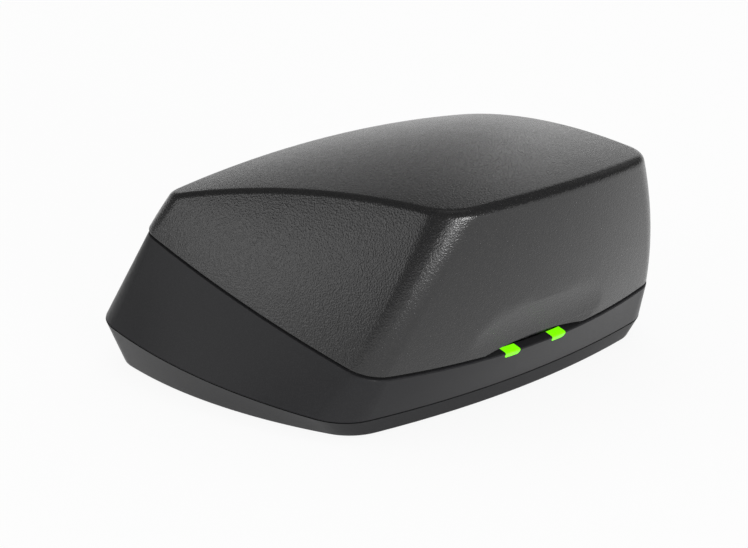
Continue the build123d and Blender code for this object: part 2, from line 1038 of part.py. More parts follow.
for name, side in sides.items():
    with BuildPart() as led:
        add(on_board([(side * light_x, light_y)], led_length, led_width, led_height))
    finish(led, f"led_{name}")

    with BuildPart() as light_pipe:
        add(rimmed_base())
        add(base_form(wall), mode=Mode.SUBTRACT)
        add(light_notch(side, 0), mode=Mode.INTERSECT)
        add(light_arm(side, 0))
    finish(light_pipe, f"light_pipe_{name}")

with BuildPart() as light_block:
    block_length = 2 * (light_x + light_width / 2 + light_clearance + light_block_wall)
    block_width = light_stem_depth + 2 * (light_clearance + light_block_wall)
    add(on_board([(0, light_y)], block_length, block_width, light_block_height))
    add(
        on_board(
            both_sides((light_x, light_y)),
            light_width + 2 * light_clearance,
            light_stem_depth + 2 * light_clearance,
            light_block_height,
        ),
        mode=Mode.SUBTRACT,
    )
finish(light_block, "light_block")

# Power inlet at the back of the board
with BuildPart() as inlet_shell:
    add(inlet_bar(0, inlet_front - inlet_length, inlet_front))
    add(inlet_bar(-inlet_wall, inlet_front - inlet_length, inlet_front), mode=Mode.SUBTRACT)
finish(inlet_shell, "inlet_shell")

with BuildPart() as inlet_core:
    inlet_back = inlet_front - inlet_length
    add(inlet_bar(-inlet_wall - inlet_core_fit, inlet_back, inlet_back + inlet_back_length))
    with BuildSketch(Plane.XZ.offset(-inlet_back)):
        with Locations((0, inlet_middle)):
            Rectangle(inlet_tongue_width, inlet_tongue_thickness)
    extrude(amount=-(inlet_back_length + inlet_tongue_length))
finish(inlet_core, "inlet_core")

# Screws: four through the cover, four in the board and four in the lid's liner
with BuildPart() as cover_screws:
    add(
        posts(
            cover_screw_places, screw_head_radius, screw_floor - screw_head_height, screw_floor
        )
    )
    add(posts(cover_screw_places, screw_radius, screw_floor, screw_floor + screw_length))
    with BuildSketch(Plane.XY.offset(screw_floor - screw_head_height)):
        with Locations(*cover_screw_places):
            RegularPolygon(drive_radius, 6)
    extrude(amount=drive_depth, mode=Mode.SUBTRACT)
finish(cover_screws, "cover_screws")

with BuildPart() as board_screws:
    board_screw_top = board_top + board_screw_head_height
    add(posts(board_screw_places, board_screw_head_radius, board_top, board_screw_top))
    add(posts(board_screw_places, board_screw_radius, board_screw_end, board_top))
    with BuildSketch(Plane.XY.offset(board_screw_top)):
        with Locations(*board_screw_places):
            RegularPolygon(drive_radius, 6)
    extrude(amount=-drive_depth, mode=Mode.SUBTRACT)
finish(board_screws, "board_screws")

# Rubber feet, set in the cover over its screws
for name, side in sides.items():
    for end_name, (x, y) in zip(ends, (cover_screw_front, cover_screw_rear)):
        with BuildPart() as foot:
            add(posts([(side * x, y)], foot_radius, 0, stand_height + foot_recess))
            fillet(foot.faces().sort_by(Axis.Z)[0].edges(), foot_edge_radius)
        finish(foot, f"foot_{end_name}_{name}")

# Lid shell, with its hinge knuckle, stop, finger grip and bosses
with BuildPart() as lid_shell:
    add(lid_form(0))
    fillet(lid_shell.faces().sort_by(Axis.Z)[-1].edges(), crown_edge_radius)
    lid_rim_face = lid_shell.faces().filter_by(GeomType.PLANE).sort_by(Axis.Z)[0]
    fillet(lid_rim_face.edges(), rim_edge_radius)
    add(lid_form(wall), mode=Mode.SUBTRACT)
    add(lid_bosses())
    add(
        studs(
            liner_screw_places,
            liner_screw_radius + screw_clearance,
            liner_level,
            0,
            liner_screw_depth + screw_clearance,
        ),
        mode=Mode.SUBTRACT,
    )
    add(
        studs(
            magnet_places,
            magnet_radius + magnet_clearance,
            deck_top,
            lid_magnet_rise,
            lid_magnet_rise + magnet_thickness + magnet_clearance,
        ),
        mode=Mode.SUBTRACT,
    )
    for side in sides.values():
        inner_end = side * lid_knuckle_half
        outer_end = inner_end + side * (base_knuckle_length + 2 * knuckle_clearance)
        add(
            hinge_barrel(
                knuckle_radius + knuckle_clearance,
                min(inner_end, outer_end),
                max(inner_end, outer_end),
            ),
            mode=Mode.SUBTRACT,
        )
    add(hinge_barrel(knuckle_radius, -lid_knuckle_half, lid_knuckle_half))
    with BuildSketch(Plane.YZ.offset(-stop_width / 2)):
        with BuildLine():
            Polyline(
                (hinge_y, hinge_z),
                hinge_point(stop_radius, stop_lead_angle),
                hinge_point(stop_radius, stop_lead_angle + stop_spread),
                close=True,
            )
        make_face()
    extrude(amount=stop_width)
    add(hinge_barrel(hinge_pin_radius + hinge_pin_running, -far, far), mode=Mode.SUBTRACT)
    with BuildSketch(Plane.XZ.offset(far)):
        with BuildLine():
            ThreePointArc((-grip_half, grip_end), (0, grip_top), (grip_half, grip_end))
            Polyline(
                (grip_half, grip_end),
                (grip_half, grip_end - grip_height),
                (-grip_half, grip_end - grip_height),
                (-grip_half, grip_end),
            )
        make_face()
    extrude(amount=-(far + rim_outline.front_at(0) + wall + grip_height), mode=Mode.SUBTRACT)
    with BuildSketch(Plane.YZ.offset(-far)):
        with Locations(scoop_middle):
            Circle(scoop_radius)
    extrude(amount=2 * far, mode=Mode.SUBTRACT)
finish(lid_shell, "lid_shell")

# Liner plate in the lid, its screws and the pads that hold the aids down
with BuildPart() as lid_liner:
    add(layer(lid_form(wall + liner_clearance), liner_bottom, liner_level))
    add(
        studs(
            liner_screw_places,
            liner_screw_radius + screw_hole_clearance,
            liner_level,
            -liner_thickness,
            0,
        ),
        mode=Mode.SUBTRACT,
    )
finish(lid_liner, "lid_liner")

with BuildPart() as liner_screws:
    add(
        studs(
            liner_screw_places,
            liner_screw_head_radius,
            liner_level,
            -liner_thickness - liner_screw_head_height,
            -liner_thickness,
        )
    )
    add(
        studs(
            liner_screw_places,
            liner_screw_radius,
            liner_level,
            -liner_thickness,
            liner_screw_depth,
        )
    )
finish(liner_screws, "liner_screws")

for name, side in sides.items():
    with BuildPart() as pad:
        with BuildSketch(liner_bottom.plane()):
            with Locations(*on_level(liner_bottom, [(side * well_x, well_y)])):
                RectangleRounded(pad_width, pad_length, pad_corner)
        extrude(amount=-pad_thickness)
    finish(pad, f"hold_down_pad_{name}")

# Hinge pin
with BuildPart() as hinge_pin:
    add(hinge_barrel(hinge_pin_radius, -hinge_pin_half, hinge_pin_half))
finish(hinge_pin, "hinge_pin")
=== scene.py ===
"""Looks of a desktop charging case for a pair of behind-the-ear hearing aids.

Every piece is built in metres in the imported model's own frame: X runs to the
right, Y to the hinge at the back and Z up from the surface under the case.
"""

from __future__ import annotations

import json
import logging
import math
from dataclasses import dataclass, field
from enum import Enum

import bmesh
import bpy
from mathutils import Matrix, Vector

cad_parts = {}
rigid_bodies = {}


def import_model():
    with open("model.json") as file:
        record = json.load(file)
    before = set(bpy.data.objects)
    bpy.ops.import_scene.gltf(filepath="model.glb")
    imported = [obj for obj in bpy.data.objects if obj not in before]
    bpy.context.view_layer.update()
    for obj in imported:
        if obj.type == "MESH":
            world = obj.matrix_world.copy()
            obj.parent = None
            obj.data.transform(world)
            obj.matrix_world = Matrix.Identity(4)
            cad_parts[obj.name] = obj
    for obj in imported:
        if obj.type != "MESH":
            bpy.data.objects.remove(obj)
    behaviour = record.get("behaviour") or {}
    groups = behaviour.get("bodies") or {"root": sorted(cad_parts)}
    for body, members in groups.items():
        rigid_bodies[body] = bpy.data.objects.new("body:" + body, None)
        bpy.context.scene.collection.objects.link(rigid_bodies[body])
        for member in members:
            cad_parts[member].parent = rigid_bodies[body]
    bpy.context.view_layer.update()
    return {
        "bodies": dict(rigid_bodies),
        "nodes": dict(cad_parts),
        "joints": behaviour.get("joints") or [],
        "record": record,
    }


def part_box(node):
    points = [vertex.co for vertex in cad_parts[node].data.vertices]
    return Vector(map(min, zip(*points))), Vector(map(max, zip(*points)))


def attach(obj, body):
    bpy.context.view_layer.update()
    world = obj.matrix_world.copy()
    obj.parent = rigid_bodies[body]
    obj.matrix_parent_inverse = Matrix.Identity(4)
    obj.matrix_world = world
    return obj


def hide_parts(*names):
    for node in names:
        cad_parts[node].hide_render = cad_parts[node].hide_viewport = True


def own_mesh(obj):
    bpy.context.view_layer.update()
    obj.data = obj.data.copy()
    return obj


LOG = logging.getLogger("charging_case")
MM = 0.001
SIDES = {"left": -1, "right": 1}
ENDS = ("front", "rear")
WHITE = (1.0, 1.0, 1.0, 1.0)

Colour = tuple[float, float, float]
Point = tuple[float, float, float]
Flat = tuple[float, float]
Socket = bpy.types.NodeSocket
Value = Socket | tuple[float, ...] | float | bool


class NodeTree:
    """A node tree, built one node at a time."""

    def __init__(self, tree: bpy.types.NodeTree) -> None:
        """Take the tree to build in.

        Args:
            tree: Blender's own tree.
        """
        self.tree = tree

    def add(
        self, kind: str, inputs: dict[str | int, Value] | None = None, **settings: object
    ) -> bpy.types.Node:
        """Add a node.

        Args:
            kind: The node's type.
            inputs: Values or sockets for its inputs, by name or number.
            settings: Properties to set on the node.

        Returns:
            The new node.
        """
        node = self.tree.nodes.new(kind)
        for key, value in settings.items():
            setattr(node, key, value)
        for name, value in (inputs or {}).items():
            self.feed(node.inputs[name], value)
        return node

    def feed(self, target: Socket, value: Value) -> None:
        """Link a socket to an input, or set a constant on it.

        Args:
            target: The input.
            value: The socket or the constant.
        """
        if isinstance(value, Socket):
            self.tree.links.new(value, target)
        else:
            target.default_value = value

    def calc(self, operation: str, *values: Value) -> Socket:
        """Return the result of one operation on sockets and numbers.

        Args:
            operation: The math node's operation.
            values: Its operands, in order.

        Returns:
            The result.
        """
        return self.add("ShaderNodeMath", dict(enumerate(values)), operation=operation).outputs[0]

    def times(self, value: Value, factor: Value) -> Socket:
        """Return the product of two values."""
        return self.calc("MULTIPLY", value, factor)

    def spread(
        self, value: Socket, low: float, high: float, start: float, end: float, **settings: str
    ) -> Socket:
        """Map a value's range onto another.

        Args:
            value: The value to map.
            low: The value that becomes start.
            high: The value that becomes end.
            start: The result at low.
            end: The result at high.
            settings: Properties to set on the node.

        Returns:
            The mapped value.
        """
        sizes = {"Value": value, "From Min": low, "From Max": high, "To Min": start, "To Max": end}
        return self.add("ShaderNodeMapRange", sizes, **settings).outputs[0]


class ShaderTree(NodeTree):
    """A new material's node tree."""

    # Where most of a noise's values lie.
    noise_range = (0.3, 0.7)

    def __init__(self, name: str) -> None:
        """Start a material with a Principled shader.

        Args:
            name: The material's name.
        """
        self.material = bpy.data.materials.new(name)
        self.material.use_nodes = True
        super().__init__(self.material.node_tree)
        self.shader = self.tree.nodes["Principled BSDF"]
        self.place = self.add("ShaderNodeTexCoord").outputs["Object"]

    def noise(self, scale: float, detail: float = 2.0, roughness: float = 0.5) -> Socket:
        """Add a noise in object space.

        Args:
            scale: Cells in a metre.
            detail: Octaves of finer noise.
            roughness: Strength of the finer octaves.

        Returns:
            The noise's value.
        """
        sizes = {"Vector": self.place, "Scale": scale, "Detail": detail, "Roughness": roughness}
        return self.add("ShaderNodeTexNoise", sizes).outputs["Fac"]

    def cells(self, scale: float) -> Socket:
        """Add rounded cells in object space.

        Args:
            scale: Cells in a metre.

        Returns:
            The distance from the nearest cell's middle.
        """
        sizes = {"Vector": self.place, "Scale": scale}
        return self.add("ShaderNodeTexVoronoi", sizes, feature="SMOOTH_F1").outputs["Distance"]

    def blend(self, share: Socket, first: Colour, second: Colour) -> Socket:
        """Mix two colours.

        Args:
            share: The share of the second colour.
            first: The colour at a share of 0.
            second: The colour at a share of 1.

        Returns:
            The mixed colour.
        """
        sizes = {"Factor": share, 6: (*first, 1.0), 7: (*second, 1.0)}
        return self.add("ShaderNodeMix", sizes, data_type="RGBA").outputs[2]

    def put(self, name: str, value: Value) -> None:
        """Link or set one of the shader's own inputs."""
        self.feed(self.shader.inputs[name], value)

    def gloss(self, value: Socket, smooth: float, rough: float) -> None:
        """Let a noise carry the shader's roughness between two levels.

        Args:
            value: The noise.
            smooth: The roughness where the noise is low.
            rough: The roughness where the noise is high.
        """
        self.put("Roughness", self.spread(value, *self.noise_range, smooth, rough))

    def bump(self, height: Socket, depth: float) -> None:
        """Raise the surface by a height.

        Args:
            height: The height, as a share of the depth.
            depth: The height of a value of 1, in metres.
        """
        node = self.add("ShaderNodeBump", {"Height": height, "Distance": depth, "Strength": 1.0})
        self.put("Normal", node.outputs["Normal"])


@dataclass(frozen=True)
class Tier:
    """A shape part-way through its making, and which of its faces is on top."""

    mesh: Socket
    top: Value = True


class ShapeTree(NodeTree):
    """A geometry node tree that puts a shape on every place."""

    helix_steps = 24

    def __init__(self, name: str) -> None:
        """Start a tree that takes a geometry and a finish, and gives a geometry.

        Args:
            name: The tree's name.
        """
        super().__init__(bpy.data.node_groups.new(name, "GeometryNodeTree"))
        self.tree.interface.new_socket("Places", in_out="INPUT", socket_type="NodeSocketGeometry")
        self.tree.interface.new_socket("Finish", in_out="INPUT", socket_type="NodeSocketMaterial")
        self.tree.interface.new_socket("Shape", in_out="OUTPUT", socket_type="NodeSocketGeometry")
        self.entry = self.add("NodeGroupInput")
        self.places = self.entry.outputs["Places"]

    def size(self, name: str, kind: str = "NodeSocketFloat") -> Socket:
        """Add a named input and return its value."""
        self.tree.interface.new_socket(name, in_out="INPUT", socket_type=kind)
        return self.entry.outputs[name]

    def point(self, x: Value, y: Value, z: Value) -> Socket:
        """Return a vector made of three values."""
        return self.add("ShaderNodeCombineXYZ", {"X": x, "Y": y, "Z": z}).outputs[0]

    def helix(self, radius: Value, turns: Value, rise: Value, sides: int, thickness: Value) -> Socket:
        """Sweep a round section along a helix about Z, up from the origin.

        Args:
            radius: The helix's radius.
            turns: Its number of turns.
            rise: Its height.
            sides: The section's number of sides.
            thickness: The section's radius.

        Returns:
            The closed mesh.
        """
        sizes = {"Rotations": turns, "Start Radius": radius, "End Radius": radius, "Height": rise}
        path = self.add("GeometryNodeCurveSpiral", {"Resolution": self.helix_steps, **sizes})
        section = self.add("GeometryNodeCurvePrimitiveCircle", {"Resolution": sides, "Radius": thickness})
        sweep = {"Curve": path.outputs[0], "Profile Curve": section.outputs[0], "Fill Caps": True}
        return self.add("GeometryNodeCurveToMesh", sweep).outputs[0]

    def copied(self, shape: Socket, points: Socket, **turn: Socket) -> Socket:
        """Put a copy of a shape on every point.

        Args:
            shape: The shape.
            points: The points.
            turn: The Rotation of the copies, if they are turned.

        Returns:
            The copies.
        """
        sizes = {"Points": points, "Instance": shape, **turn}
        return self.add("GeometryNodeInstanceOnPoints", sizes).outputs[0]

    def lifted(self, shape: Socket, rise: Value) -> Socket:
        """Return a shape moved along Z."""
        sizes = {"Geometry": shape, "Translation": self.point(0.0, 0.0, rise)}
        return self.add("GeometryNodeTransform", sizes).outputs[0]

    def scaled(self, shape: Socket, faces: Socket, scale: Value) -> Socket:
        """Return a shape with some of its faces scaled."""
        sizes = {"Geometry": shape, "Selection": faces, "Scale": scale}
        return self.add("GeometryNodeScaleElements", sizes, domain="FACE").outputs[0]

    def raised(self, tier: Tier, height: Value, scale: Value = 1.0) -> Tier:
        """Extrude the face on top of a shape and scale it.

        Args:
            tier: The shape so far.
            height: How far the face rises.
            scale: What it is scaled by.

        Returns:
            The shape with its new top.
        """
        sizes = {"Mesh": tier.mesh, "Selection": tier.top, "Offset Scale": height}
        rise = self.add("GeometryNodeExtrudeMesh", sizes, mode="FACES").outputs
        return Tier(self.scaled(rise["Mesh"], rise["Top"], scale), rise["Top"])

    def close(self, shape: Socket) -> None:
        """Make the placed shapes real and give them the finish.

        Args:
            shape: The copies.
        """
        real = self.add("GeometryNodeRealizeInstances", {"Geometry": shape}).outputs[0]
        sizes = {"Geometry": real, "Material": self.entry.outputs["Finish"]}
        dressed = self.add("GeometryNodeSetMaterial", sizes).outputs[0]
        self.add("NodeGroupOutput", {"Shape": dressed})


@dataclass(frozen=True)
class MouldedPlastic:
    """A moulded plastic with a fine grain."""

    name: str
    shade: Colour
    fleck: Colour
    grain: float
    depth: float
    smooth: float
    rough: float
    shine: float = 0.5
    mottle: float = 0.1
    mottle_size: float = 12.0
    fleck_range: Flat = (0.45, 0.7)

    def material(self) -> bpy.types.Material:
        """Make the material.

        Returns:
            The material.
        """
        tree = ShaderTree(self.name)
        fine = tree.noise(1 / self.grain, detail=0.6, roughness=0.6)
        coarse = tree.noise(1 / (self.grain * self.mottle_size))
        specks = tree.spread(fine, *self.fleck_range, 0.0, 1.0)
        share = tree.calc("MULTIPLY_ADD", coarse, self.mottle, specks)
        tree.put("Base Color", tree.blend(share, self.shade, self.fleck))
        tree.gloss(fine, self.smooth, self.rough)
        tree.bump(fine, self.depth)
        tree.put("Specular IOR Level", self.shine)
        return tree.material


@dataclass(frozen=True)
class Metal:
    """A plain or plated metal with a fine texture and slightly worn patches."""

    name: str
    shade: Colour
    worn: Colour
    smooth: float
    rough: float
    grain: float = 0.2 * MM
    depth: float = 0.004 * MM
    cloud_share: float = 0.12

    def material(self) -> bpy.types.Material:
        """Make the material.

        Returns:
            The material.
        """
        tree = ShaderTree(self.name)
        fine = tree.noise(1 / self.grain, detail=3.0, roughness=0.6)
        cloud = tree.noise(self.cloud_share / self.grain)
        tree.put("Base Color", tree.blend(cloud, self.shade, self.worn))
        tree.gloss(fine, self.smooth, self.rough)
        tree.bump(fine, self.depth)
        tree.put("Metallic", 1.0)
        return tree.material


@dataclass(frozen=True)
class SoftRubber:
    """A soft moulded rubber or foam with a dull, slightly open skin."""

    name: str
    shade: Colour
    bloom: Colour
    grain: float
    depth: float
    rough: float = 0.8
    sheen: float = 0.15
    cloud_share: float = 0.1
    pore_range: Flat = (0.0, 0.8)
    pore_gloss: Flat = (-0.08, 0.1)

    def material(self) -> bpy.types.Material:
        """Make the material.

        Returns:
            The material.
        """
        tree = ShaderTree(self.name)
        pores = tree.cells(1 / self.grain)
        cloud = tree.noise(self.cloud_share / self.grain, detail=3.0)
        tree.put("Base Color", tree.blend(cloud, self.shade, self.bloom))
        levels = (self.rough + change for change in self.pore_gloss)
        tree.put("Roughness", tree.spread(pores, *self.pore_range, *levels))
        tree.bump(pores, self.depth)
        tree.put("Sheen Weight", self.sheen)
        tree.put("Sheen Roughness", 0.5)
        return tree.material


@dataclass(frozen=True)
class LitResin:
    """A clouded resin that a lamp behind it fills with light."""

    name: str
    shade: Colour
    rim: Colour
    core: Colour
    strength: float
    clouds: float = 900.0
    rim_blend: float = 0.35
    smooth: float = 0.22
    rough: float = 0.34
    shine: float = 0.25

    def material(self) -> bpy.types.Material:
        """Make the material.

        Returns:
            The material.
        """
        tree = ShaderTree(self.name)
        cloud = tree.noise(self.clouds)
        facing = tree.add("ShaderNodeLayerWeight", {"Blend": self.rim_blend}).outputs["Facing"]
        tree.put("Base Color", tree.blend(cloud, self.shade, self.rim))
        tree.put("Emission Color", tree.blend(facing, self.core, self.rim))
        tree.gloss(cloud, self.smooth, self.rough)
        tree.put("Emission Strength", self.strength)
        tree.put("Specular IOR Level", self.shine)
        return tree.material


@dataclass(frozen=True)
class BoardLacquer:
    """A circuit board's green lacquer over its woven base."""

    name: str
    shade: Colour
    copper: Colour
    threads: float = 700.0
    thread_share: float = 0.15
    depth: float = 0.006 * MM
    clouds: float = 160.0
    copper_range: Flat = (0.35, 0.75)
    copper_share: float = 0.5
    smooth: float = 0.28
    rough: float = 0.42

    def material(self) -> bpy.types.Material:
        """Make the material.

        Returns:
            The material.
        """
        tree = ShaderTree(self.name)
        sizes = {"Vector": tree.place, "Scale": self.threads}
        weave = tree.add("ShaderNodeTexWave", sizes, bands_direction="X").outputs["Fac"]
        cloud = tree.noise(self.clouds, detail=3.0)
        tracks = tree.spread(cloud, *self.copper_range, 0.0, self.copper_share)
        share = tree.calc("MULTIPLY_ADD", weave, self.thread_share, tracks)
        tree.put("Base Color", tree.blend(share, self.shade, self.copper))
        tree.gloss(cloud, self.smooth, self.rough)
        tree.bump(weave, self.depth)
        return tree.material


class Finish(Enum):
    """The finishes of the case's pieces."""

    LID = MouldedPlastic(
        "lid_plastic", shade=(0.0098, 0.0098, 0.0103), fleck=(0.0162, 0.0158, 0.0158),
        grain=0.34 * MM, depth=0.06 * MM, smooth=0.29, rough=0.23,
    )
    HOUSING = MouldedPlastic(
        "housing_plastic", shade=(0.02, 0.02, 0.0212), fleck=(0.024, 0.024, 0.0252),
        grain=0.25 * MM, depth=0.01 * MM, smooth=0.3, rough=0.38, shine=0.1,
    )
    COVER = MouldedPlastic(
        "cover_plastic", shade=(0.017, 0.017, 0.018), fleck=(0.0205, 0.0205, 0.0216),
        grain=0.25 * MM, depth=0.01 * MM, smooth=0.34, rough=0.42, shine=0.13,
    )
    DECK = MouldedPlastic(
        "deck_plastic", shade=(0.03, 0.03, 0.032), fleck=(0.055, 0.055, 0.058),
        grain=0.4 * MM, depth=0.03 * MM, smooth=0.5, rough=0.68, shine=0.35,
    )
    INSULATOR = MouldedPlastic(
        "insulator_plastic", shade=(0.02, 0.02, 0.021), fleck=(0.035, 0.035, 0.037),
        grain=0.3 * MM, depth=0.01 * MM, smooth=0.4, rough=0.5,
    )
    CHIP = MouldedPlastic(
        "chip_resin", shade=(0.015, 0.015, 0.016), fleck=(0.04, 0.04, 0.042),
        grain=0.2 * MM, depth=0.01 * MM, smooth=0.5, rough=0.62,
    )
    CERAMIC = MouldedPlastic(
        "capacitor_ceramic", shade=(0.34, 0.24, 0.15), fleck=(0.48, 0.37, 0.26),
        grain=0.3 * MM, depth=0.006 * MM, smooth=0.35, rough=0.5,
    )
    BLUE = MouldedPlastic(
        "blue_marker", shade=(0.015, 0.08, 0.5), fleck=(0.03, 0.12, 0.6),
        grain=0.3 * MM, depth=0.004 * MM, smooth=0.22, rough=0.3,
    )
    RED = MouldedPlastic(
        "red_marker", shade=(0.55, 0.012, 0.012), fleck=(0.66, 0.03, 0.03),
        grain=0.3 * MM, depth=0.004 * MM, smooth=0.22, rough=0.3,
    )
    LINER = SoftRubber(
        "well_liner", shade=(0.04, 0.04, 0.043), bloom=(0.062, 0.062, 0.066),
        grain=0.4 * MM, depth=0.02 * MM, rough=0.68,
    )
    RUBBER = SoftRubber(
        "foot_rubber", shade=(0.018, 0.018, 0.018), bloom=(0.034, 0.034, 0.034),
        grain=0.5 * MM, depth=0.04 * MM,
    )
    FOAM = SoftRubber(
        "pad_foam", shade=(0.05, 0.05, 0.054), bloom=(0.082, 0.082, 0.088),
        grain=0.45 * MM, depth=0.12 * MM, rough=0.86, sheen=0.3,
    )
    GOLD = Metal("gold_plate", shade=(0.83, 0.61, 0.24), worn=(0.9, 0.7, 0.33), smooth=0.16, rough=0.27)
    STEEL = Metal("plain_steel", shade=(0.52, 0.52, 0.53), worn=(0.66, 0.66, 0.67), smooth=0.24, rough=0.4)
    NICKEL = Metal("nickel_plate", shade=(0.62, 0.61, 0.59), worn=(0.74, 0.73, 0.7), smooth=0.14, rough=0.24)
    LIGHT = LitResin(
        "lit_resin", shade=(0.02, 0.12, 0.003), rim=(0.13, 0.7, 0.0), core=(0.235, 1.0, 0.002), strength=0.95
    )
    BOARD = BoardLacquer("board_lacquer", shade=(0.008, 0.09, 0.035), copper=(0.03, 0.19, 0.07))


class Wardrobe:
    """Makes each finish's material once and dresses pieces in it."""

    def __init__(self) -> None:
        """Start with no materials."""
        self.made: dict[Finish, bpy.types.Material] = {}

    def material(self, finish: Finish) -> bpy.types.Material:
        """Make a finish's material on the first call, and keep it for the next.

        Args:
            finish: The finish.

        Returns:
            Its material.
        """
        if finish not in self.made:
            self.made[finish] = finish.value.material()
        return self.made[finish]

    def dress(self, piece: bpy.types.Object, finish: Finish) -> None:
        """Give a piece one finish all over."""
        piece.data.materials.clear()
        piece.data.materials.append(self.material(finish))


@dataclass
class Workshop:
    """What the sub-assemblies share: the frame, the finishes and the ways to make a piece."""

    frame: dict
    wardrobe: Wardrobe = field(default_factory=Wardrobe)
    merge: float = 0.002 * MM
    sliver: float = 0.0005 * MM
    sharp: float = math.radians(32.0)

    def dress_node(self, node: str, finish: Finish) -> None:
        """Give a CAD node a finish, and leave its shape as it is."""
        self.wardrobe.dress(self.frame["nodes"][node], finish)
        LOG.info("dressed %s", node)

    def smooth_copy(self, node: str, name: str, finish: Finish, slot: str, body: str) -> bpy.types.Object:
        """Make a merged, smooth-shaded piece that stands for a CAD node.

        Args:
            node: The node to copy.
            name: The new piece's name.
            finish: Its finish.
            slot: The record's material slot.
            body: The body it rides on.

        Returns:
            The piece.
        """
        work = bmesh.new()
        work.from_mesh(self.frame["nodes"][node].data)
        bmesh.ops.remove_doubles(work, verts=work.verts, dist=self.merge)
        bmesh.ops.dissolve_degenerate(work, edges=work.edges, dist=self.sliver)
        piece = self.shaded(work, name)
        weighted = piece.modifiers.new("even_normals", "WEIGHTED_NORMAL")
        weighted.keep_sharp = True
        self.settle(piece, finish, slot, body, node)
        return piece

    def shaded(self, work: bmesh.types.BMesh, name: str) -> bpy.types.Object:
        """Turn a worked mesh into an object with smooth faces and sharp edges.

        Args:
            work: The worked mesh, which is freed.
            name: The object's name.

        Returns:
            The object, in the scene.
        """
        for face in work.faces:
            face.smooth = True
        for edge in work.edges:
            edge.smooth = len(edge.link_faces) == 2 and edge.calc_face_angle(0.0) < self.sharp
        mesh = bpy.data.meshes.new(name)
        work.to_mesh(mesh)
        work.free()
        piece = bpy.data.objects.new(name, mesh)
        bpy.context.scene.collection.objects.link(piece)
        return piece

    def grown(
        self, plan: ShapeTree, places: list[Point], name: str, finish: Finish, sizes: dict[str, object]
    ) -> bpy.types.Object:
        """Run a geometry tree on some places and keep the result as a plain mesh.

        Args:
            plan: The tree.
            places: The points that the tree starts from.
            name: The new piece's name.
            finish: Its finish.
            sizes: The tree's named inputs.

        Returns:
            The piece.
        """
        points = bpy.data.meshes.new(f"{name}_places")
        points.from_pydata(places, [], [])
        holder = bpy.data.objects.new(f"{name}_places", points)
        bpy.context.scene.collection.objects.link(holder)
        modifier = holder.modifiers.new("shape", "NODES")
        modifier.node_group = plan.tree
        given = {"Finish": self.wardrobe.material(finish), **sizes}
        for item in plan.tree.interface.items_tree:
            if item.in_out == "INPUT" and item.name in given:
                modifier[item.identifier] = given[item.name]
        graph = bpy.context.evaluated_depsgraph_get()
        mesh = bpy.data.meshes.new_from_object(holder.evaluated_get(graph), depsgraph=graph)
        holder.modifiers.remove(modifier)
        bpy.data.objects.remove(holder)
        bpy.data.meshes.remove(points)
        work = bmesh.new()
        work.from_mesh(mesh)
        bpy.data.meshes.remove(mesh)
        bmesh.ops.remove_doubles(work, verts=work.verts, dist=self.merge)
        return self.shaded(work, name)

    def settle(self, piece: bpy.types.Object, finish: Finish, slot: str, body: str, *nodes: str) -> None:
        """Dress a finished piece, seat it on its body and hide the CAD nodes that it stands for.

        Args:
            piece: The piece.
            finish: Its finish.
            slot: Not used.
            body: The body it rides on.
            nodes: The CAD nodes that it stands for.
        """
        self.wardrobe.dress(piece, finish)
        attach(piece, body)
        if nodes:
            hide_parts(*nodes)
        LOG.info("made %s", piece.name)


